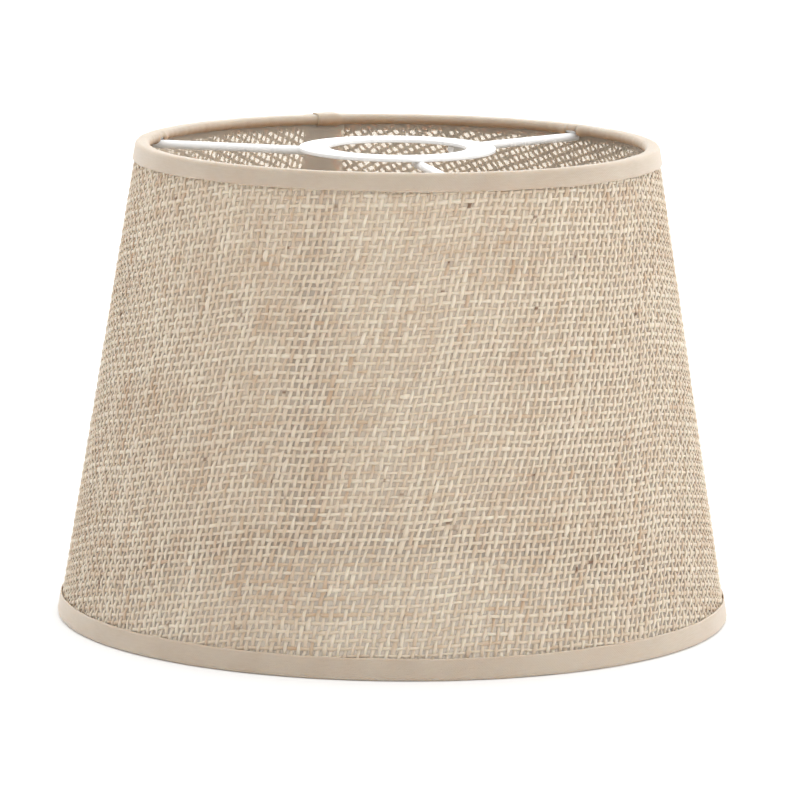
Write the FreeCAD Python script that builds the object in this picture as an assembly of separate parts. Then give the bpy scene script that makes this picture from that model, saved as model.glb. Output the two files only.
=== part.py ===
import FreeCAD, Part

import math
import os

from FreeCAD import Vector

# A tapered lamp shade. A strip of open-weave jute, backed by a clear stiffening film, is rolled
# into a cone and lapped at the back. A wire ring holds each rim, and a folded cotton tape binds
# the wall's edge to its ring. Three wire arms carry the flat fitter ring just under the top rim.
#
# The shade stands on its wide rim: +Z is up, and the origin is the centre of the bottom rim.
# Azimuths are seen from above, from +X towards +Y. Lengths are in millimetres.

# Overall size, over the bindings
BOTTOM_DIAMETER = 200.0
TOP_DIAMETER = 154.5
HEIGHT = 141.0

# The wall, from its outside inwards
TAPE_THICKNESS = 0.4
JUTE_THICKNESS = 1.2
FILM_THICKNESS = 0.25
GLUE_GAP = 0.05

# The bindings
TOP_BINDING_LEG = 5.2    # height of the tape on the outside of the wall
BOTTOM_BINDING_LEG = 6.4
TUCK_ANGLE = 30.0        # how far the tape goes on round the ring, back towards the film

# The lap at the back, where the wall's outer end steps over its inner end
LAP_START = 102.5        # azimuth of the wall's inner end
LAP_ANGLE = 9.0          # overlap
JOG_ANGLE = 4.0          # over which the wall steps outwards, just before the overlap
JOG_PARTS = 2
SEAM_TAPE_THICKNESS = 0.15
SEAM_TAPE_MARGIN = 0.5   # degrees left bare at each side of the overlap

# The wire frame
RING_WIRE = 2.2
ARM_WIRE = 2.5
WELD_SINK = 0.15         # how deep an arm is pressed into the ring and the fitter when welded
ARM_AZIMUTHS = {"front_arm": -76.0, "right_arm": 44.0, "left_arm": 164.0}
ARM_INNER_RADIUS = 22.0
ARM_END_GAP = 0.3
NOTCH_CLEARANCE = 0.5    # round an arm, where it passes through the top binding

# The fitter ring, which a lampholder's shade ring clamps
FITTER_DIAMETER = 58.0
FITTER_HOLE = 41.0
FITTER_THICKNESS = 1.2
FITTER_EDGE_RADIUS = 0.3

# Worked out from the above
SLOPE = (BOTTOM_DIAMETER - TOP_DIAMETER) / 2 / HEIGHT
LEAN = math.atan(SLOPE)
JUTE_DEPTH = TAPE_THICKNESS
FILM_DEPTH = JUTE_DEPTH + JUTE_THICKNESS
INSIDE_DEPTH = FILM_DEPTH + FILM_THICKNESS
RING_DEPTH = INSIDE_DEPTH + GLUE_GAP + RING_WIRE / 2
RING_RISE = TAPE_THICKNESS + RING_WIRE / 2          # a ring's centre, from its rim
LAP_STEP = JUTE_THICKNESS + FILM_THICKNESS + SEAM_TAPE_THICKNESS
TOP_RING_Z = HEIGHT - RING_RISE
ARM_Z = TOP_RING_Z - RING_WIRE / 2 - ARM_WIRE / 2 + WELD_SINK
FITTER_Z = ARM_Z + ARM_WIRE / 2 - WELD_SINK

ORIGIN = Vector(0, 0, 0)
UP = Vector(0, 0, 1)


def wall_radius(z, depth=0.0):
    """Radius at height z of the cone that lies `depth` inside the shade's outer face."""
    return BOTTOM_DIAMETER / 2 - SLOPE * z - depth / math.cos(LEAN)


def turned(shape, azimuth):
    """A copy of a shape drawn at azimuth 0, turned about the shade's axis."""
    copy = shape.copy()
    copy.rotate(ORIGIN, UP, azimuth)
    return copy


def swept(profile, start, angle):
    """A closed profile turned about the shade's axis, from the azimuth `start`."""
    return Part.Face(turned(profile, start)).revolve(ORIGIN, UP, angle)


def lapped(profile_at, runs_under):
    """A wall or binding that steps outwards where the wall laps over itself.

    profile_at(step) is its closed profile, moved outwards by `step`. A wall's inner end runs
    under the overlap. A binding stays on the outside.
    """
    covered = 0.0 if runs_under else LAP_ANGLE
    main = swept(profile_at(0.0), LAP_START + covered, 360.0 - JOG_ANGLE - covered)
    sections = []
    for part in range(JOG_PARTS + 1):
        share = part / JOG_PARTS
        azimuth = LAP_START - JOG_ANGLE * (1 - share)
        sections.append(turned(profile_at(LAP_STEP * share), azimuth))
    jog = Part.makeLoft(sections, True, True)
    overlap = swept(profile_at(LAP_STEP), LAP_START, LAP_ANGLE)
    return main.fuse([jog, overlap]).removeSplitter().Solids[0]


def layer_profile(outer_depth, inner_depth):
    """One layer of the wall, between the two horizontal edges that the bindings cover."""
    low, high = TAPE_THICKNESS, HEIGHT - TAPE_THICKNESS
    corners = [
        Vector(wall_radius(low, outer_depth), 0, low),
        Vector(wall_radius(high, outer_depth), 0, high),
        Vector(wall_radius(high, inner_depth), 0, high),
        Vector(wall_radius(low, inner_depth), 0, low),
    ]
    return Part.makePolygon(corners + corners[:1])


def binding_profile(at_top, step):
    """Folded tape: up the outside of the wall, over its edge, and round the wire ring.

    It is drawn in (r, h), where h is the distance from the rim into the shade.
    """
    side = -1 if at_top else 1
    leg = TOP_BINDING_LEG if at_top else BOTTOM_BINDING_LEG
    ring_h = RING_RISE
    tape = TAPE_THICKNESS
    wire = RING_WIRE / 2

    def height(h):
        return HEIGHT - h if at_top else h

    def point(r, h):
        return Vector(r, 0, height(h))

    def on_wall(h, depth):
        return point(wall_radius(height(h), depth - step), h)

    ring_r = wall_radius(height(ring_h), RING_DEPTH)

    def round_ring(radius, angle):
        """angle 0 faces the rim, 90 the shade's axis, and 180 away from the rim"""
        turn = math.radians(angle)
        return point(ring_r - radius * math.sin(turn), ring_h - radius * math.cos(turn))

    edge = on_wall(tape, tape)

    def round_edge(angle):
        turn = math.radians(angle)
        return point(edge.x + tape * math.cos(turn), tape + tape * math.sin(turn))

    wall_angle = side * math.degrees(LEAN)
    last = 180.0 + TUCK_ANGLE
    edges = [
        Part.makeLine(on_wall(leg, 0), round_edge(wall_angle)),
        Part.Arc(round_edge(wall_angle), round_edge((wall_angle - 90) / 2), round_edge(-90)).toShape(),
        Part.makeLine(round_edge(-90), round_ring(wire + tape, 0)),
        Part.Arc(
            round_ring(wire + tape, 0), round_ring(wire + tape, 90), round_ring(wire + tape, last)
        ).toShape(),
        Part.makeLine(round_ring(wire + tape, last), round_ring(wire, last)),
        Part.Arc(round_ring(wire, last), round_ring(wire, 90), round_ring(wire, 0)).toShape(),
        Part.makeLine(round_ring(wire, 0), edge),
        Part.makeLine(edge, on_wall(leg, tape)),
        Part.makeLine(on_wall(leg, tape), on_wall(leg, 0)),
    ]
    return Part.Wire(edges)


def jute_cover():
    return lapped(lambda step: layer_profile(JUTE_DEPTH - step, FILM_DEPTH - step), True)


def film_liner():
    return lapped(lambda step: layer_profile(FILM_DEPTH - step, INSIDE_DEPTH - step), True)


def seam_tape():
    """Double-sided tape between the overlapping ends of the wall."""
    profile = layer_profile(JUTE_DEPTH - SEAM_TAPE_THICKNESS, JUTE_DEPTH)
    return swept(profile, LAP_START + SEAM_TAPE_MARGIN, LAP_ANGLE - 2 * SEAM_TAPE_MARGIN)


def top_binding():
    binding = lapped(lambda step: binding_profile(True, step), False)
    notches = [arm_rod(azimuth, NOTCH_CLEARANCE) for azimuth in ARM_AZIMUTHS.values()]
    return binding.cut(notches).Solids[0]


def bottom_binding():
    return lapped(lambda step: binding_profile(False, step), False)


def wire_ring(z):
    return Part.makeTorus(wall_radius(z, RING_DEPTH), RING_WIRE / 2, Vector(0, 0, z), UP)


def fitter_ring():
    disc = Part.makeCylinder(FITTER_DIAMETER / 2, FITTER_THICKNESS, Vector(0, 0, FITTER_Z))
    hole = Part.makeCylinder(FITTER_HOLE / 2, FITTER_THICKNESS, Vector(0, 0, FITTER_Z))
    ring = disc.cut(hole)
    round_edges = [edge for edge in ring.Edges if edge.Closed]
    return ring.makeFillet(FITTER_EDGE_RADIUS, round_edges)


def arm_rod(azimuth, clearance=0.0):
    """A straight wire from under the fitter ring to the film, just under the top wire ring."""
    length = wall_radius(ARM_Z, INSIDE_DEPTH) - ARM_END_GAP - ARM_INNER_RADIUS
    start = Vector(ARM_INNER_RADIUS, 0, ARM_Z)
    rod = Part.makeCylinder(ARM_WIRE / 2 + clearance, length, start, Vector(1, 0, 0))
    return turned(rod, azimuth)


def arm(azimuth):
    """The rod, pressed flat where it meets the fitter ring and hollowed by the wire ring."""
    flat = Part.makeCylinder(FITTER_DIAMETER / 2, FITTER_THICKNESS, Vector(0, 0, FITTER_Z))
    return arm_rod(azimuth).cut([flat, wire_ring(TOP_RING_Z)]).Solids[0]


def main():
    parts = {
        "jute_cover": jute_cover(),
        "film_liner": film_liner(),
        "seam_tape": seam_tape(),
        "top_binding": top_binding(),
        "bottom_binding": bottom_binding(),
        "top_wire_ring": wire_ring(TOP_RING_Z),
        "bottom_wire_ring": wire_ring(RING_RISE),
        "fitter_ring": fitter_ring(),
    }
    for name, azimuth in ARM_AZIMUTHS.items():
        parts[name] = arm(azimuth)

    os.makedirs("parts", exist_ok=True)
    for name, shape in parts.items():
        shape.exportStep(f"parts/{name}.step")
        box = shape.BoundBox
        print(
            f"{name}: valid {shape.isValid()}, {len(shape.Solids)} solid, {shape.Volume:.0f} mm3,"
            f" z {box.ZMin:.2f} to {box.ZMax:.2f}, r up to {max(box.XMax, box.YMax):.2f}"
        )


main()
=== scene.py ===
# %% [markdown]
# # A tapered shade of woven jute
# The shade is a cone of coarse, open jute cloth on a clear stiffening film. Cotton tape is folded
# over both rims, round hidden wire rings, and a flat white ring on three wire arms takes the
# lampholder. The metal and the film come ready-made from the frame. This notebook weaves the
# cloth, folds the tape, gives each piece its finish and sets up a small white studio.

# %% Load the frame
import math

import bmesh
import bpy
import numpy as np
from mathutils import Matrix, Vector


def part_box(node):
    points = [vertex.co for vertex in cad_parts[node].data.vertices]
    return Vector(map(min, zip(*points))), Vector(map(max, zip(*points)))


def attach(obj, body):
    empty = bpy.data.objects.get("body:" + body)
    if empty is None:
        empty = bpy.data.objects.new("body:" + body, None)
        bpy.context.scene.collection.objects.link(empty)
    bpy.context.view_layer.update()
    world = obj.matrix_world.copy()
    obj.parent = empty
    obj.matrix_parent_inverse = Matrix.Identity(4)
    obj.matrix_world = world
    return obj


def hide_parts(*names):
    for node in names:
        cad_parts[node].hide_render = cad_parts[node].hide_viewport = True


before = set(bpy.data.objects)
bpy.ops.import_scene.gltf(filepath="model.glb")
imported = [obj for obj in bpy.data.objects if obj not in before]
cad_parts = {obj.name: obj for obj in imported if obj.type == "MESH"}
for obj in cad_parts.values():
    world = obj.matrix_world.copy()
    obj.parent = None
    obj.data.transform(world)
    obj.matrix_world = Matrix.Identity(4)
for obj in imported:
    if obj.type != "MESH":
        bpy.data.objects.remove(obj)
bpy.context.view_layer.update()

MM = 0.001
print("the frame holds", len(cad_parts), "nodes:", ", ".join(sorted(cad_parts)))

# %% [markdown]
# ## Reading the cone from the frame
# A rolled cloth follows a cone exactly, so the first job is to find that cone. The cover's mesh
# has its corners on the true circles of its two edges, so the radius of those corners gives the
# cone's slope and thickness. Only the front half is read, because the wall laps at the back.

# %% Measure the wall


def read_points(mesh):
    flat = np.zeros(len(mesh.vertices) * 3)
    mesh.vertices.foreach_get("co", flat)
    return flat.reshape(-1, 3)


def points_of(node):
    """The corners of a frame node's mesh, as an array of positions."""
    return read_points(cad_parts[node].data)


def radii_at(node, height):
    """The least and greatest radius of a node's front corners at one height."""
    co = points_of(node)
    chosen = (np.abs(co[:, 2] - height) < 0.02 * MM) & (co[:, 1] < 0)
    radius = np.hypot(co[chosen, 0], co[chosen, 1])
    return radius.min(), radius.max()


COVER_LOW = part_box("jute_cover")[0].z
COVER_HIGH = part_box("jute_cover")[1].z
low_inside, low_outside = radii_at("jute_cover", COVER_LOW)
high_outside = radii_at("jute_cover", COVER_HIGH)[1]
SLOPE = (low_outside - high_outside) / (COVER_HIGH - COVER_LOW)
LEAN = math.atan(SLOPE)
CLOTH_THICKNESS = (low_outside - low_inside) * math.cos(LEAN)
APEX_Z = COVER_LOW + (low_outside + low_inside) / 2 / SLOPE
print(f"wall leans {math.degrees(LEAN):.2f} degrees, cloth {CLOTH_THICKNESS / MM:.2f} mm thick")

# %% [markdown]
# ## Unrolling the cone
# Unrolled, a cone is a fan. Straight yarns in a flat fan become slanting yarns on the cone, and
# that is why the mesh looks square at the front of the shade and diamond-shaped near the seam.
# So the cloth is woven flat, and one function, `roll_up`, wraps any flat point round the cone:
# x runs to the right, y runs down from the tip of the fan, and the third value lifts the point
# off the cloth's middle. At the seam the outer end climbs over the inner one by `LAP_STEP`.

# %% Roll a flat point onto the cone
seam = points_of("seam_tape")
seam_azimuths = np.degrees(np.arctan2(seam[:, 1], seam[:, 0]))
SEAM_MARGIN = 0.5                       # degrees of the lap left bare on each side of its glue tape
LAP_START = float(seam_azimuths.min()) - SEAM_MARGIN
LAP_ANGLE = float(np.ptp(seam_azimuths)) + 2 * SEAM_MARGIN
JOG_ANGLE = 4.0                         # the wall climbs over this angle, just before it laps
LAP_STEP = 1.6 * MM                     # cloth, film and glue tape together
WALL_TURN = 360.0 + LAP_ANGLE           # degrees from the wall's inner end to its outer end
CLOTH_TRIM = 2.1                        # degrees by which the cloth stops short at the inner end
FAN_HALF = math.radians(WALL_TURN / 2) * math.sin(LEAN)


def slant(z):
    """Distance from the cone's tip to height z, along the cloth."""
    return (APEX_Z - z) / math.cos(LEAN)


def smooth_ramp(value, start, end):
    t = np.clip((value - start) / (end - start), 0, 1)
    return t * t * (3 - 2 * t)


def lap_rise(turn):
    """How far the wall stands out, `turn` degrees on from its inner end."""
    return LAP_STEP * smooth_ramp(turn, 360.0 - JOG_ANGLE, 360.0)


def roll_up(flat):
    along = np.hypot(flat[:, 0], flat[:, 1])
    turn = WALL_TURN / 2 + np.degrees(np.arctan2(flat[:, 0], flat[:, 1])) / math.sin(LEAN)
    azimuth = np.radians(LAP_START + turn)
    lift = flat[:, 2] + lap_rise(turn)
    radius = along * math.sin(LEAN) + lift * math.cos(LEAN)
    z = APEX_Z - along * math.cos(LEAN) + lift * math.sin(LEAN)
    return np.stack([radius * np.cos(azimuth), radius * np.sin(azimuth), z], axis=1)


FAN_TOP, FAN_BOTTOM = slant(COVER_HIGH), slant(COVER_LOW)
FAN_START = -FAN_HALF + math.radians(CLOTH_TRIM) * math.sin(LEAN)

# %% [markdown]
# ## Small helpers
# Meshes move between numpy, which places many points at once, and bmesh, which cuts and closes
# them. A bmesh is edited and then written to a mesh, and every piece rides on the one rigid body.

# %% Helpers for meshes


def write_points(mesh, points):
    mesh.vertices.foreach_set("co", np.ascontiguousarray(points, dtype=np.float32).ravel())
    mesh.update()


def write_attribute(mesh, name, kind, values):
    layer = mesh.attributes.new(name, kind, "POINT")
    key = "value" if kind == "FLOAT" else "vector"
    layer.data.foreach_set(key, np.ascontiguousarray(values, dtype=np.float32).ravel())


def whole(bm):
    return bm.verts[:] + bm.edges[:] + bm.faces[:]


def cut_away(bm, point, normal):
    """Remove what lies on the normal's side of a plane, and close the holes that it leaves."""
    cut = bmesh.ops.bisect_plane(
        bm, geom=whole(bm), plane_co=point, plane_no=normal, clear_outer=True
    )
    rim = [part for part in cut["geom_cut"] if isinstance(part, bmesh.types.BMEdge)]
    closed = bmesh.ops.holes_fill(bm, edges=rim, sides=0)
    for face in closed["faces"]:
        face.smooth = False


def finish_piece(name, mesh, material, slot, *replaced):
    piece = bpy.data.objects.new(name, mesh)
    bpy.context.scene.collection.objects.link(piece)
    mesh.materials.clear()
    mesh.materials.append(material)
    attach(piece, "root")
    if replaced:
        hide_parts(*replaced)
    print(f"{name}: {len(mesh.vertices)} points, {len(mesh.polygons)} faces")
    return piece


# %% [markdown]
# ## Uneven yarn
# Jute is spun roughly. Each yarn has its own thickness and colour, it swells and thins along its
# length, and here and there it carries a thick slub or a fleck of dark bark. All of that is read
# from tables of random numbers with one row for each yarn, so that neighbouring pieces of cloth
# agree about a yarn that crosses from one to the next.

# %% Random tables, one row for each yarn
WARP_PITCH = 1.95 * MM                  # between yarns that run up the shade
WEFT_PITCH = 2.35 * MM                  # between yarns that run round it
SKEW = 0.255                            # how far the weave has been pulled out of square
YARN_ROWS = 400
KNOTS = 96                              # values along a yarn, before its table repeats
SWELL, GIRTH, SLUB = 0.17, 0.09, 0.55   # shares of a yarn's width
SLUB_FROM, BARK_FROM = 1.3, 2.35        # table values past which a slub or a fleck begins
SPACING, WANDER = 0.07 * MM, 0.12 * MM  # sideways, for a whole yarn and along it
SWELL_STEP, SLUB_STEP, WANDER_STEP = 1.9 * MM, 5.0 * MM, 3.6 * MM
TONE_STEP, BARK_STEP = 5.0 * MM, 1.7 * MM
dice = np.random.default_rng(41)


class YarnSet:
    """One of the cloth's two sets of yarns, with its random character."""

    def __init__(self, pitch, crossing_pitch, width, thickness, crest):
        self.pitch, self.crossing_pitch = pitch, crossing_pitch
        self.width, self.thickness, self.crest = width, thickness, crest
        self.girth = dice.normal(0, 1, YARN_ROWS)
        self.shade = dice.normal(0, 1, YARN_ROWS)
        self.spacing = dice.normal(0, 1, YARN_ROWS)
        self.tables = {
            name: dice.normal(0, 1, (YARN_ROWS, KNOTS))
            for name in ("swell", "slub", "wander", "tone", "fleck")
        }

    def along(self, name, row, distance, step):
        """A value that changes smoothly along each yarn, with a new one every `step`."""
        place = distance / step
        first = np.floor(place).astype(int)
        share = place - first
        share = share * share * (3 - 2 * share)
        table = self.tables[name]
        return table[row, first % KNOTS] * (1 - share) + table[row, (first + 1) % KNOTS] * share


warp = YarnSet(WARP_PITCH, WEFT_PITCH, 1.12 * MM, 0.48 * MM, 0.26 * MM)
weft = YarnSet(WEFT_PITCH, WARP_PITCH, 1.08 * MM, 0.46 * MM, -0.22 * MM)
print("yarn tables:", YARN_ROWS, "rows of", KNOTS, "knots")

# %% [markdown]
# ## Weaving
# A plain weave is two sets of yarns, each passing over one and under the next. It could be
# painted as a texture on a smooth cone, but light has to fall through the open mesh and every
# float has to catch its own highlight, so the yarns are real tubes.
#
# One six-sided tube is made with `create_cone` and cut into rings with `subdivide_edges`. `spin`
# with no angle copies it sideways. Then each ring is moved: its yarn rises and falls as a wave
# with a crest over every second crossing, and takes its width from the random tables.

# %% Straight tubes, side by side
YARN_SIDES = 6
RINGS_PER_CROSSING = 3
NOMINAL_RADIUS = 0.5 * MM


def straight_tubes(length, rings, spacing, count):
    """Tubes along +Y from y = 0, with `count` of them side by side along +X."""
    bm = bmesh.new()
    bmesh.ops.create_cone(
        bm, cap_ends=True, cap_tris=False, segments=YARN_SIDES,
        radius1=NOMINAL_RADIUS, radius2=NOMINAL_RADIUS, depth=length,
        matrix=Matrix.Translation((0, length / 2, 0)) @ Matrix.Rotation(math.radians(90), 4, "X"),
    )
    lengthwise = [edge for edge in bm.edges if edge.calc_length() > length / 2]
    bmesh.ops.subdivide_edges(bm, edges=lengthwise, cuts=rings - 1, use_grid_fill=True)
    for face in bm.faces:
        face.smooth = len(face.verts) == 4
    bmesh.ops.spin(
        bm, geom=whole(bm), cent=(0, 0, 0), axis=(0, 0, 1), dvec=(spacing, 0, 0), angle=0,
        steps=count - 1, use_duplicate=True,
    )
    mesh = bpy.data.meshes.new("tubes")
    bm.to_mesh(mesh)
    bm.free()
    return mesh


# %% From straight tubes to woven yarns
SKEW_FROM = (FAN_TOP + FAN_BOTTOM) / 2
BOW = 0.8 * MM
PULLS = (                               # size, wavelengths along x and y, phase
    (0.45 * MM, 0.137, 0.211, 0.4),
    (0.30 * MM, 0.071, 0.094, 2.1),
    (0.16 * MM, 0.033, 0.041, 4.0),
)


def bowed(x, y):
    """Pull the cloth out of square, with a gentle bow and the slow waviness of real cloth."""
    down = (y - FAN_TOP) / (FAN_BOTTOM - FAN_TOP)
    shift_x = BOW * np.cos(2 * math.pi * (down - 0.2) / 1.2) - SKEW * (y - SKEW_FROM)
    shift_y = np.zeros_like(y)
    for size, wave_x, wave_y, phase in PULLS:
        shift_x = shift_x + size * np.sin(2 * math.pi * (y / wave_y + x / wave_x / 3) + phase)
        shift_y = shift_y + size * np.sin(2 * math.pi * (x / wave_x - y / wave_y / 3) + 2 * phase)
    return x + shift_x, y + shift_y


def woven(yarns, first_row, start, length, count):
    """A mesh of `count` wavy yarns. Column 0 is across the yarns and column 1 is along them."""
    crossings = round(length / yarns.crossing_pitch)
    length = crossings * yarns.crossing_pitch
    mesh = straight_tubes(length, crossings * RINGS_PER_CROSSING, yarns.pitch, count)
    co = read_points(mesh)
    step = np.rint(co[:, 0] / yarns.pitch).astype(int)
    number = step + first_row
    row = number % YARN_ROWS
    across = (co[:, 0] - step * yarns.pitch) / NOMINAL_RADIUS
    height = co[:, 2] / NOMINAL_RADIUS
    along = co[:, 1] + start

    beat = np.cos(math.pi * along / yarns.crossing_pitch)
    crest = beat * (1.25 - 0.25 * beat**2) * np.where(number % 2 == 0, 1, -1) * yarns.crest
    swell = SWELL * yarns.along("swell", row, along, SWELL_STEP) + GIRTH * yarns.girth[row]
    slub = SLUB * np.clip(yarns.along("slub", row, along, SLUB_STEP) - SLUB_FROM, 0, 1)
    plump = 1 + swell + slub
    half_width = yarns.width / 2 * plump * (0.9 + 0.16 * beat**2)
    half_height = yarns.thickness / 2 * (0.35 + 0.65 * plump) * (0.88 + 0.14 * beat**2)
    wander = WANDER * yarns.along("wander", row, along, WANDER_STEP)
    wander = SPACING * yarns.spacing[row] + wander

    middle = number * yarns.pitch + wander
    sideways = middle + across * half_width
    lift = crest + height * half_height
    tone = 0.30 * yarns.shade[row] + 0.70 * yarns.along("tone", row, along, TONE_STEP)
    bark = np.clip(yarns.along("fleck", row, along, BARK_STEP) - BARK_FROM, 0, 1) * 2
    return mesh, sideways, along, lift, tone, bark, np.arctan2(height, across), row


def woven_mesh(yarns, runs_up, first_row, start, length, count):
    parts = woven(yarns, first_row, start, length, count)
    mesh, sideways, along, lift, tone, bark, around, row = parts
    x, y = (sideways, along) if runs_up else (along, sideways)
    x, y = bowed(x, y)
    write_points(mesh, np.stack([x, y, lift], axis=1))
    write_attribute(mesh, "tone", "FLOAT", tone)
    write_attribute(mesh, "bark", "FLOAT", bark)
    fibre = np.stack([along, around * MM, row * MM * 10], axis=1)
    write_attribute(mesh, "fibre", "FLOAT_VECTOR", fibre)
    return mesh


# %% [markdown]
# ## Cutting the cloth
# The woven rectangle is cut to the fan's two straight ends while it is flat, and to its curved
# rims after rolling, when each rim is simply a level plane. The shade is built in nine panels so
# that no mesh grows too heavy. They meet edge to edge, with no gap and no overlap.

# %% Weave, cut and roll one panel
PANELS = 9
RIM_INSET = 0.5 * MM                    # the cloth stops this far short of the tape's fold
CUT_MARGIN = 4 * MM


def fan_ends(panel):
    step = (FAN_HALF - FAN_START) / PANELS
    return FAN_START + panel * step, FAN_START + (panel + 1) * step


def panel_mesh(panel):
    left, right = fan_ends(panel)
    angles = np.linspace(left, right, 9)
    xs = np.concatenate([FAN_TOP * np.sin(angles), FAN_BOTTOM * np.sin(angles)])
    ys = np.concatenate([FAN_TOP * np.cos(angles), FAN_BOTTOM * np.cos(angles)])
    unskewed = xs + SKEW * (ys - SKEW_FROM)
    x0, x1 = unskewed.min() - CUT_MARGIN, unskewed.max() + CUT_MARGIN
    y0, y1 = ys.min() - CUT_MARGIN, ys.max() + CUT_MARGIN
    first_warp, first_weft = math.floor(x0 / WARP_PITCH), math.floor(y0 / WEFT_PITCH)
    warp_count = math.ceil(x1 / WARP_PITCH) - first_warp
    weft_count = math.ceil(y1 / WEFT_PITCH) - first_weft

    left_edge, top_edge = first_warp * WARP_PITCH, first_weft * WEFT_PITCH
    across, down = warp_count * WARP_PITCH, weft_count * WEFT_PITCH

    bm = bmesh.new()
    upright = woven_mesh(warp, True, first_warp, top_edge, down, warp_count)
    level = woven_mesh(weft, False, first_weft, left_edge, across, weft_count)
    bm.from_mesh(upright)
    bm.from_mesh(level)
    cut_away(bm, (0, 0, 0), (-math.cos(left), math.sin(left), 0))
    cut_away(bm, (0, 0, 0), (math.cos(right), -math.sin(right), 0))

    mesh = bpy.data.meshes.new(f"jute_panel_{panel + 1}")
    bm.to_mesh(mesh)
    bm.clear()
    write_points(mesh, roll_up(read_points(mesh)))
    bm.from_mesh(mesh)
    cut_away(bm, (0, 0, COVER_LOW + RIM_INSET), (0, 0, -1))
    cut_away(bm, (0, 0, COVER_HIGH - RIM_INSET), (0, 0, 1))
    bmesh.ops.recalc_face_normals(bm, faces=bm.faces[:])
    bm.to_mesh(mesh)
    bm.free()
    bpy.data.meshes.remove(upright)
    bpy.data.meshes.remove(level)
    return mesh


# %% [markdown]
# ## Shader groups that several finishes share
# `fibre_colour` mixes three colours by a tone value and adds soft blotches, for both the jute
# and the cotton. `fine_weave` is the thread pattern of a closely woven tape, drawn on the
# tape's own cloth coordinates.

# %% Build the groups


def new_group(name, inputs, outputs):
    group = bpy.data.node_groups.new(name, "ShaderNodeTree")
    for label, kind, value in inputs:
        socket = group.interface.new_socket(label, in_out="INPUT", socket_type=kind)
        if value is not None:
            socket.default_value = value
    for label, kind in outputs:
        group.interface.new_socket(label, in_out="OUTPUT", socket_type=kind)
    return group, group.nodes.new("NodeGroupInput"), group.nodes.new("NodeGroupOutput")


def math_node(tree, operation, first, second=None, clamp=False):
    node = tree.nodes.new("ShaderNodeMath")
    node.operation = operation
    node.use_clamp = clamp
    for socket, value in zip(node.inputs, (first, second)):
        if value is None:
            continue
        if isinstance(value, bpy.types.NodeSocket):
            tree.links.new(value, socket)
        else:
            socket.default_value = value
    return node.outputs[0]


def noise_node(tree, vector, scale, detail=2.0, roughness=0.5):
    node = tree.nodes.new("ShaderNodeTexNoise")
    node.inputs["Scale"].default_value = scale
    node.inputs["Detail"].default_value = detail
    node.inputs["Roughness"].default_value = roughness
    tree.links.new(vector, node.inputs["Vector"])
    return node.outputs["Fac"]


def mix_colours(tree, share, first, second):
    node = tree.nodes.new("ShaderNodeMix")
    node.data_type = "RGBA"
    factor, colour_a, colour_b = node.inputs["Factor"], node.inputs[6], node.inputs[7]
    for socket, value in ((factor, share), (colour_a, first), (colour_b, second)):
        if isinstance(value, bpy.types.NodeSocket):
            tree.links.new(value, socket)
        else:
            socket.default_value = value
    return node.outputs[2]


def fibre_colour_group():
    colour, number, vector = "NodeSocketColor", "NodeSocketFloat", "NodeSocketVector"
    group, given, result = new_group(
        "fibre_colour",
        [("Position", vector, None), ("Tone", number, 0.0), ("Light", colour, None),
         ("Middle", colour, None), ("Dark", colour, None), ("Blotch Scale", number, 60.0),
         ("Blotch", number, 0.5)],
        [("Color", colour), ("Value", number)],
    )
    blotch = noise_node(group, given.outputs["Position"], 60.0, 3.0)
    group.links.new(given.outputs["Blotch Scale"], blotch.node.inputs["Scale"])
    centred = math_node(group, "SUBTRACT", blotch, 0.5)
    spread = math_node(group, "MULTIPLY", centred, given.outputs["Blotch"])
    value = math_node(group, "ADD", spread, given.outputs["Tone"])
    lighter = math_node(group, "MULTIPLY", value, 1.0, clamp=True)
    darker = math_node(group, "MULTIPLY", value, -1.0, clamp=True)
    pale = mix_colours(group, lighter, given.outputs["Middle"], given.outputs["Light"])
    both = mix_colours(group, darker, pale, given.outputs["Dark"])
    group.links.new(both, result.inputs["Color"])
    group.links.new(value, result.inputs["Value"])
    return group


def fine_weave_group():
    number, vector = "NodeSocketFloat", "NodeSocketVector"
    group, given, result = new_group(
        "fine_weave", [("Cloth", vector, None), ("Threads", number, 2500.0)], [("Height", number)]
    )
    scaled = group.nodes.new("ShaderNodeVectorMath")
    scaled.operation = "SCALE"
    group.links.new(given.outputs["Cloth"], scaled.inputs[0])
    group.links.new(given.outputs["Threads"], scaled.inputs["Scale"])
    parts = group.nodes.new("ShaderNodeSeparateXYZ")
    group.links.new(scaled.outputs[0], parts.inputs[0])
    along = math_node(group, "SINE", math_node(group, "MULTIPLY", parts.outputs[0], math.pi))
    across = math_node(group, "SINE", math_node(group, "MULTIPLY", parts.outputs[1], math.pi))
    group.links.new(math_node(group, "MULTIPLY", along, across), result.inputs["Height"])
    return group


fibre_colour = fibre_colour_group()
fine_weave = fine_weave_group()
print("shader groups:", fibre_colour.name, "and", fine_weave.name)

# %% Helpers for materials


def new_material(name):
    """A material with an empty tree but for its output and one Principled shader."""
    material = bpy.data.materials.new(name)
    material.use_nodes = True
    tree = material.node_tree
    shader = tree.nodes["Principled BSDF"]
    return material, tree, shader


def place_group(tree, group, **values):
    node = tree.nodes.new("ShaderNodeGroup")
    node.node_tree = group
    for label, value in values.items():
        socket = node.inputs[label.replace("_", " ")]
        if isinstance(value, bpy.types.NodeSocket):
            tree.links.new(value, socket)
        else:
            socket.default_value = value
    return node


def attribute(tree, name):
    node = tree.nodes.new("ShaderNodeAttribute")
    node.attribute_name = name
    return node


def object_position(tree):
    return tree.nodes.new("ShaderNodeTexCoord").outputs["Object"]


def add_bump(tree, shader, height, strength, distance):
    node = tree.nodes.new("ShaderNodeBump")
    node.inputs["Strength"].default_value = strength
    node.inputs["Distance"].default_value = distance
    tree.links.new(height, node.inputs["Height"])
    tree.links.new(node.outputs["Normal"], shader.inputs["Normal"])


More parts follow.
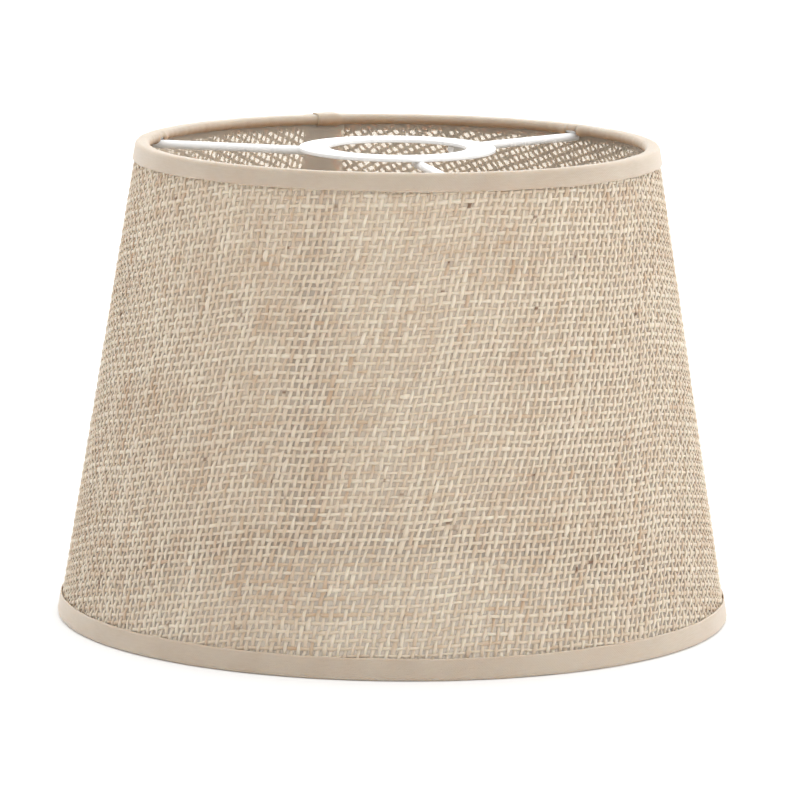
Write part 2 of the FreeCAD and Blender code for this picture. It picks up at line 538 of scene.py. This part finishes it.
# %% [markdown]
# ## Jute
# Raw jute is a dull gold-brown with pale straw tips. The tone of each yarn comes from the
# tables above, and the flecks of bark are nearly black-brown. Along each yarn, noise stretched
# lengthwise makes the twisted fibres, both as streaks of colour and as a fine bump.

# %% Jute material
JUTE_LIGHT = (0.63, 0.56, 0.45, 1)
JUTE_MIDDLE = (0.55, 0.465, 0.36, 1)
JUTE_DARK = (0.43, 0.305, 0.20, 1)
BARK = (0.16, 0.09, 0.05, 1)


def jute_material():
    material, tree, shader = new_material("jute")
    tone = math_node(tree, "MULTIPLY", attribute(tree, "tone").outputs["Fac"], 0.45)
    position = object_position(tree)
    stretched = tree.nodes.new("ShaderNodeMapping")
    stretched.inputs["Scale"].default_value = (0.22, 1.0, 1.0)
    tree.links.new(attribute(tree, "fibre").outputs["Vector"], stretched.inputs["Vector"])
    streaks = noise_node(tree, stretched.outputs[0], 2600.0, 3.0, 0.65)
    streak_tone = math_node(tree, "MULTIPLY", math_node(tree, "SUBTRACT", streaks, 0.5), 1.3)
    tone = math_node(tree, "ADD", tone, streak_tone)
    colours = place_group(
        tree, fibre_colour, Position=position, Tone=tone, Light=JUTE_LIGHT, Middle=JUTE_MIDDLE,
        Dark=JUTE_DARK, Blotch_Scale=38.0, Blotch=1.1,
    )
    barked = mix_colours(
        tree, math_node(tree, "MULTIPLY", attribute(tree, "bark").outputs["Fac"], 1.0, clamp=True),
        colours.outputs["Color"], BARK,
    )
    tree.links.new(barked, shader.inputs["Base Color"])
    shader.inputs["Roughness"].default_value = 0.72
    shader.inputs["Specular IOR Level"].default_value = 0.35
    shader.inputs["Sheen Weight"].default_value = 0.18
    shader.inputs["Sheen Roughness"].default_value = 0.6
    shader.inputs["Subsurface Weight"].default_value = 0.5
    shader.inputs["Subsurface Radius"].default_value = (1.0, 0.7, 0.45)
    shader.inputs["Subsurface Scale"].default_value = 0.0005
    add_bump(tree, shader, streaks, 0.5, 0.12 * MM)
    return material


jute = jute_material()
for number in range(PANELS):
    panel_name = f"jute_panel_{number + 1}"
    panel = finish_piece(panel_name, panel_mesh(number), jute, "jute", "jute_cover")

# %% [markdown]
# ## Folding the tape
# Each rim is bound with a strip of cotton tape, 12 to 14 mm wide. It is glued up the outside of
# the wall, folds over the edge, rolls round the wire ring, and its last edge is tucked back
# underneath. A torus and a band would give the outline, but not the soft corner of the fold, the
# small puckers inside the curve, or the lapped end.
#
# So the strip starts flat, as one `create_grid`. Its width follows the outline of the fold and
# its length goes round the rim. A Solidify modifier then gives it the thickness of cloth.

# %% The outline of a fold
STRIP_THICKNESS = 0.32 * MM
STRIP_GAP = 0.02 * MM                   # glue between the strip and what it lies on
FOLD_CORNER = 0.9 * MM                  # radius of the bend over the rim's outer edge
RING_TURN = 210                         # degrees that the tape goes round the wire


def wall_radius(z, lift):
    """The cone's radius at a height, raised off the middle of the cloth by `lift`."""
    return (APEX_Z - z) * SLOPE + lift / math.cos(LEAN)


class Fold:
    """The outline of one binding in (radius, z), from its glued edge to its tucked edge."""

    def __init__(self, binding, ring, up):
        low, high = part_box(binding)
        ring_low, ring_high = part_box(ring)
        wire = (ring_high.z - ring_low.z) / 2
        centre = Vector((ring_high.x - wire, (ring_low.z + ring_high.z) / 2))
        rim, glued = (high.z, low.z) if up > 0 else (low.z, high.z)
        half = STRIP_THICKNESS / 2
        lift = CLOTH_THICKNESS / 2 + STRIP_GAP + half
        corner_z = rim - up * (half + FOLD_CORNER)
        corner_r = wall_radius(corner_z, lift) - FOLD_CORNER
        points = [(wall_radius(z, lift), z) for z in np.linspace(glued, corner_z, 30)]
        for angle in np.radians(np.linspace(0, 90, 20))[1:]:
            out, along = FOLD_CORNER * math.cos(angle), FOLD_CORNER * math.sin(angle)
            points.append((corner_r + out, corner_z + up * along))
        corner_end = len(points) - 1
        roll = wire + STRIP_GAP + half
        for angle in np.radians(np.linspace(0, RING_TURN, 80)):
            inwards, along = roll * math.sin(angle), roll * math.cos(angle)
            points.append((centre.x - inwards, centre.y + up * along))
        self.points = np.array(points)
        gaps = np.hypot(*np.diff(self.points, axis=0).T)
        self.travel = np.concatenate([[0], np.cumsum(gaps)])
        self.width, self.up = self.travel[-1], up
        self.corner = self.travel[corner_end]
        self.on_ring = self.travel[corner_end + 1]
        tangent = np.gradient(self.points, self.travel, axis=0)
        self.normals = np.stack([tangent[:, 1], -tangent[:, 0]], axis=1) * up

    def at(self, across):
        """Points and outward normals at distances across the strip."""
        place = [np.interp(across, self.travel, self.points[:, i]) for i in (0, 1)]
        normal = [np.interp(across, self.travel, self.normals[:, i]) for i in (0, 1)]
        return place, normal


top_fold = Fold("top_binding", "top_wire_ring", 1)
bottom_fold = Fold("bottom_binding", "bottom_wire_ring", -1)
print(f"strips are {top_fold.width / MM:.1f} and {bottom_fold.width / MM:.1f} mm wide")

# %% [markdown]
# ## Round the rim
# The strip has to climb over the wall's own lap, then lap over its own beginning. At each wire
# arm the tape is snipped and its corners bunch up a little, so the top strip is shortened there.
# Gentle waves along the glued edge and tighter puckers on the roll keep it from looking turned
# on a lathe.

# %% Bend a strip round
STRIP_LAP = 5.0                         # degrees by which a strip overlaps its beginning
STRIP_LAP_RISE = 0.42 * MM
DESCENT_ANGLE = 1.3                     # over which the tape drops off the wall's outer end
SNIP_HALF, SNIP_SLOPE = 1.5, 0.6        # degrees on each side of an arm
SNIP_LEFT = 100                         # degrees of roll that a snip leaves on the wire
BUNCH_AT, BUNCH_WIDTH = 2.6, 1.1        # degrees from an arm to its bunched corners; their spread
BUNCH_RISE = 0.5 * MM
EDGE_WOBBLE, SLOW_WAVE, PUCKER = 0.16 * MM, 0.05 * MM, 0.11 * MM


def waves(azimuth, lengths, phase):
    """A sum of sines round the rim. The lengths are in degrees."""
    total = np.zeros_like(azimuth)
    for number, length in enumerate(lengths):
        turns = round(360 / length)
        total = total + np.sin(np.radians(azimuth) * turns + phase + 1.7 * number**2)
    return total / len(lengths)


def arm_azimuths():
    found = []
    for name in ("front_arm", "right_arm", "left_arm"):
        middle = points_of(name).mean(axis=0)
        found.append(math.degrees(math.atan2(middle[1], middle[0])))
    return found


def angle_between(first, second):
    return np.abs((first - second + 180) % 360 - 180)


def wall_step(azimuth):
    """How far the lapped wall pushes the tape outwards."""
    turn = (azimuth - LAP_START + 180) % 360 - 180
    climb = smooth_ramp(turn, -JOG_ANGLE, 0)
    return LAP_STEP * (climb - smooth_ramp(turn, LAP_ANGLE, LAP_ANGLE + DESCENT_ANGLE))


def bent_strip(name, fold, start, around, across, arms, phase):
    bm = bmesh.new()
    bmesh.ops.create_grid(bm, x_segments=around, y_segments=across, size=0.5)
    if fold.up < 0:
        bmesh.ops.reverse_faces(bm, faces=bm.faces[:])
    for face in bm.faces:
        face.smooth = True
    mesh = bpy.data.meshes.new(name)
    bm.to_mesh(mesh)
    bm.free()

    flat = read_points(mesh)
    turn = (flat[:, 0] + 0.5) * (360 + STRIP_LAP)
    azimuth = start + turn
    reach = np.full(len(turn), fold.width)
    bunch = np.zeros(len(turn))
    snip_left = fold.on_ring + (fold.width - fold.on_ring) * SNIP_LEFT / RING_TURN
    for arm in arms:
        off = angle_between(azimuth, arm)
        snip = 1 - smooth_ramp(off, SNIP_HALF, SNIP_HALF + SNIP_SLOPE)
        reach = reach - (fold.width - snip_left) * snip
        bunch = bunch + np.exp(-(((off - BUNCH_AT) / BUNCH_WIDTH) ** 2))
    begin = EDGE_WOBBLE * waves(azimuth, (37, 19, 8), phase)
    distance = begin + (flat[:, 1] + 0.5) * (reach - begin)

    (radius, z), (normal_r, normal_z) = fold.at(np.maximum(distance, 0))
    on_roll = smooth_ramp(distance, fold.on_ring, fold.on_ring + 1.2 * MM)
    lift = STRIP_LAP_RISE * smooth_ramp(turn, 358.6, 360.4)
    lift = lift + SLOW_WAVE * waves(azimuth, (24, 11), phase + 1)
    lift = lift + PUCKER * on_roll * (waves(azimuth, (5.1, 3.4, 2.3), phase + 2) + 0.35)
    near_end = smooth_ramp(distance, snip_left - 1.2 * MM, snip_left + 0.8 * MM)
    lift = lift + BUNCH_RISE * bunch * near_end
    step = wall_step(azimuth) * (1 - smooth_ramp(distance, fold.corner, fold.on_ring))
    past_glued_edge = np.maximum(-distance, 0)
    radius = radius + normal_r * lift + step
    z = z + normal_z * lift - past_glued_edge * fold.up
    angle = np.radians(azimuth)
    write_points(mesh, np.stack([radius * np.cos(angle), radius * np.sin(angle), z], axis=1))
    cloth = np.stack([np.radians(turn) * fold.points[0, 0], distance, np.zeros_like(turn)], axis=1)
    write_attribute(mesh, "cloth", "FLOAT_VECTOR", cloth)
    # A share that rises over the tucked part of the roll, where the cotton paints warm shade.
    tucked = smooth_ramp(distance, fold.on_ring + 1.0 * MM, fold.on_ring + 3.2 * MM)
    write_attribute(mesh, "glued", "FLOAT", tucked)
    return mesh


# %% [markdown]
# ## Cotton
# The tape is a close, plain cotton in warm beige. Its threads are far finer than the jute's, so
# they are drawn as a bump on the strip's own coordinates. Light soaks a little way into the
# cloth, which makes the parts with light behind them glow.

# %% Cotton material
COTTON_LIGHT = (0.51, 0.45, 0.37, 1)
COTTON_MIDDLE = (0.445, 0.37, 0.295, 1)
COTTON_DARK = (0.365, 0.29, 0.215, 1)
PAINTED_ROLL_SHADE = (0.42, 0.255, 0.14, 1)     # painted warm shade on the roll's tucked part, under the wire


def cotton_material():
    material, tree, shader = new_material("cotton_tape")
    cloth = attribute(tree, "cloth").outputs["Vector"]
    threads = tree.nodes.new("ShaderNodeMapping")
    threads.inputs["Scale"].default_value = (0.12, 1.0, 1.0)
    tree.links.new(cloth, threads.inputs["Vector"])
    streaks = noise_node(tree, threads.outputs[0], 2400.0, 2.0, 0.6)
    tone = math_node(tree, "MULTIPLY", math_node(tree, "SUBTRACT", streaks, 0.5), 0.9)
    colours = place_group(
        tree, fibre_colour, Position=object_position(tree), Tone=tone, Light=COTTON_LIGHT,
        Middle=COTTON_MIDDLE, Dark=COTTON_DARK, Blotch_Scale=70.0, Blotch=1.2,
    )
    # Painted shade: the tucked part of the roll turns warm brown, where the tape curls into shadow
    # under the wire.
    glued = mix_colours(
        tree, math_node(tree, "MULTIPLY", attribute(tree, "glued").outputs["Fac"], 0.9),
        colours.outputs["Color"], PAINTED_ROLL_SHADE,
    )
    tree.links.new(glued, shader.inputs["Base Color"])
    shader.inputs["Roughness"].default_value = 0.82
    shader.inputs["Specular IOR Level"].default_value = 0.3
    shader.inputs["Sheen Weight"].default_value = 0.12
    shader.inputs["Subsurface Weight"].default_value = 1.0
    shader.inputs["Subsurface Radius"].default_value = (1.0, 0.72, 0.5)
    shader.inputs["Subsurface Scale"].default_value = 0.0011
    weave = place_group(tree, fine_weave, Cloth=cloth, Threads=2600.0)
    height = math_node(tree, "ADD", weave.outputs["Height"], streaks)
    add_bump(tree, shader, height, 0.35, 0.05 * MM)
    return material


cotton = cotton_material()

# %% Bind both rims
TOP_START, BOTTOM_START = 104.5, 93.0   # azimuths at which the strips begin, at the back
STRIP_AROUND, STRIP_ACROSS = 720, 26    # faces along the rim and across the strip


def bind(name, fold, start, arms, phase, node):
    mesh = bent_strip(name, fold, start, STRIP_AROUND, STRIP_ACROSS, arms, phase)
    strip = finish_piece(name, mesh, cotton, "cotton_tape", node)
    thicken = strip.modifiers.new("cloth thickness", "SOLIDIFY")
    thicken.thickness = STRIP_THICKNESS
    thicken.offset = 0


bind("top_tape", top_fold, TOP_START, arm_azimuths(), 0.3, "top_binding")
bind("bottom_tape", bottom_fold, BOTTOM_START, [], 1.9, "bottom_binding")

# %% [markdown]
# ## Powder coat, film and glue tape
# The fitter, its arms and the wire rings are steel with a white powder coat, which dries with a
# faint orange-peel surface. The film behind the cloth is a clear, slightly matt plastic: what
# touches it is seen sharply, and what is further behind it turns to a blur. A strip of brown
# double-sided tape holds the lap.

# %% Finishes for the carried-over nodes


def powder_coat_material():
    """White powder coat, a little uneven in tone and gloss."""
    material, tree, shader = new_material("powder_coat")
    position = object_position(tree)
    peel = noise_node(tree, position, 1500.0, 2.0, 0.5)
    patch = noise_node(tree, position, 90.0, 2.0, 0.5)
    colour = mix_colours(tree, patch, (0.90, 0.905, 0.91, 1), (0.94, 0.94, 0.94, 1))
    tree.links.new(colour, shader.inputs["Base Color"])
    rough = math_node(tree, "ADD", math_node(tree, "MULTIPLY", patch, 0.12), 0.3)
    tree.links.new(rough, shader.inputs["Roughness"])
    add_bump(tree, shader, peel, 0.25, 0.03 * MM)
    return material


def film_material():
    """Clear plastic with a warm, uneven haze."""
    material, tree, shader = new_material("matt_film")
    haze = noise_node(tree, object_position(tree), 45.0, 3.0, 0.6)
    colour = mix_colours(tree, haze, (0.94, 0.85, 0.73, 1), (0.98, 0.92, 0.83, 1))
    tree.links.new(colour, shader.inputs["Base Color"])
    shader.inputs["Roughness"].default_value = 0.18
    shader.inputs["IOR"].default_value = 1.3
    shader.inputs["Transmission Weight"].default_value = 0.70
    return material


def glue_tape_material():
    """Brown double-sided tape that lets some light through."""
    material, tree, shader = new_material("glue_tape")
    patch = noise_node(tree, object_position(tree), 220.0, 3.0, 0.6)
    colour = mix_colours(tree, patch, (0.60, 0.41, 0.25, 1), (0.82, 0.63, 0.42, 1))
    tree.links.new(colour, shader.inputs["Base Color"])
    shader.inputs["Roughness"].default_value = 0.45
    shader.inputs["Subsurface Weight"].default_value = 0.8
    shader.inputs["Subsurface Scale"].default_value = 0.0008
    return material


powder_coat, matt_film, glue_tape = powder_coat_material(), film_material(), glue_tape_material()
finishes = {"film_liner": matt_film, "seam_tape": glue_tape}
for name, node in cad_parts.items():
    node.data.materials.clear()
    node.data.materials.append(finishes.get(name, powder_coat))
print("finishes on", len(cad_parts), "carried-over nodes")

# %% [markdown]
# ## Camera
# The shade is seen from a little above, through a long lens, so that its sides hardly converge.

# %% Place the camera
CAMERA_PLACE = (0.0, -1.5854, 0.3232)
CAMERA_PITCH, CAMERA_ROLL, CAMERA_YAW = 0.1621, -0.0114, 0.0010     # radians
CAMERA_LENS = 243.3                                                 # millimetres

forward = Vector((
    math.sin(CAMERA_YAW) * math.cos(CAMERA_PITCH), math.cos(CAMERA_YAW) * math.cos(CAMERA_PITCH),
    -math.sin(CAMERA_PITCH),
))
level_right = Vector((math.cos(CAMERA_YAW), -math.sin(CAMERA_YAW), 0))
level_down = forward.cross(level_right)
right_axis = level_right * math.cos(CAMERA_ROLL) + level_down * math.sin(CAMERA_ROLL)
down_axis = level_down * math.cos(CAMERA_ROLL) - level_right * math.sin(CAMERA_ROLL)
camera = bpy.data.objects.new("camera", bpy.data.cameras.new("camera"))
bpy.context.scene.collection.objects.link(camera)
camera.data.lens = CAMERA_LENS
turn = Matrix((right_axis, -down_axis, -forward)).transposed()
camera.matrix_world = Matrix.Translation(CAMERA_PLACE) @ turn.to_4x4()
bpy.context.scene.camera = camera
print(f"camera {Vector(CAMERA_PLACE).length:.2f} m from the shade, with a {CAMERA_LENS} mm lens")

# %% [markdown]
# ## Studio
# The shade stands on a plain pale floor under a white sky. The sky is brighter behind the shade,
# so that light falls through the open mesh, and a little brighter at the front right. It is
# dimmer at the front left, where a real studio would have a dark flag.

# %% Sky, floor and key light
SKY_LEVEL = 1.4
BEHIND, FLAG, PANEL = 0.9, -0.65, 0.5   # added to the sky's level, each towards its own side
FLOOR_REACH = 6.0
KEY_SIZE, KEY_POWER = 1.2, 1.5          # metres and watts
world = bpy.data.worlds.new("studio")
bpy.context.scene.world = world
world.use_nodes = True
sky = world.node_tree


def sky_lobe(direction, start, end):
    """How far the view is towards a direction, from 0 to 1."""
    dot = sky.nodes.new("ShaderNodeVectorMath")
    dot.operation = "DOT_PRODUCT"
    sky.links.new(sky_place.outputs["Generated"], dot.inputs[0])
    dot.inputs[1].default_value = Vector(direction).normalized()
    ramp = sky.nodes.new("ShaderNodeMapRange")
    ramp.interpolation_type = "SMOOTHSTEP"
    ramp.inputs["From Min"].default_value = start
    ramp.inputs["From Max"].default_value = end
    sky.links.new(dot.outputs["Value"], ramp.inputs["Value"])
    return ramp.outputs["Result"]


sky_place = sky.nodes.new("ShaderNodeTexCoord")
behind = math_node(sky, "MULTIPLY", sky_lobe((0, 1, 0), -0.1, 0.9), BEHIND)
flag = math_node(sky, "MULTIPLY", sky_lobe((-0.6, -0.8, 0.0), 0.3, 1.0), FLAG)
panel_light = math_node(sky, "MULTIPLY", sky_lobe((0.6, -0.8, 0.1), 0.2, 1.0), PANEL)
dimmed = math_node(sky, "ADD", behind, flag)
total = math_node(sky, "ADD", dimmed, math_node(sky, "ADD", panel_light, SKY_LEVEL))
sky.links.new(total, sky.nodes["Background"].inputs["Strength"])
sky.nodes["Background"].inputs["Color"].default_value = (1, 1, 1, 1)

floor_grid = bmesh.new()
bmesh.ops.create_grid(floor_grid, x_segments=1, y_segments=1, size=FLOOR_REACH)
floor_mesh = bpy.data.meshes.new("floor")
floor_grid.to_mesh(floor_mesh)
floor_grid.free()
floor = bpy.data.objects.new("floor", floor_mesh)
bpy.context.scene.collection.objects.link(floor)
pale, _, pale_shader = new_material("pale_floor")
pale_shader.inputs["Base Color"].default_value = (0.85, 0.85, 0.85, 1)
pale_shader.inputs["Roughness"].default_value = 0.9
floor_mesh.materials.append(pale)


def soft_box(name, place, target, size, power):
    light = bpy.data.objects.new(name, bpy.data.lights.new(name, "AREA"))
    light.data.shape = "DISK"
    light.data.size = size
    light.data.energy = power
    light.location = place
    light.rotation_euler = (Vector(target) - Vector(place)).to_track_quat("-Z", "Y").to_euler()
    bpy.context.scene.collection.objects.link(light)


soft_box("key_right", (1.0, -1.9, 1.4), (0, 0, 0.07), KEY_SIZE, KEY_POWER)
bpy.context.scene.view_settings.view_transform = "Standard"
print("studio: a white sky, a pale floor and one disk light at the front right")
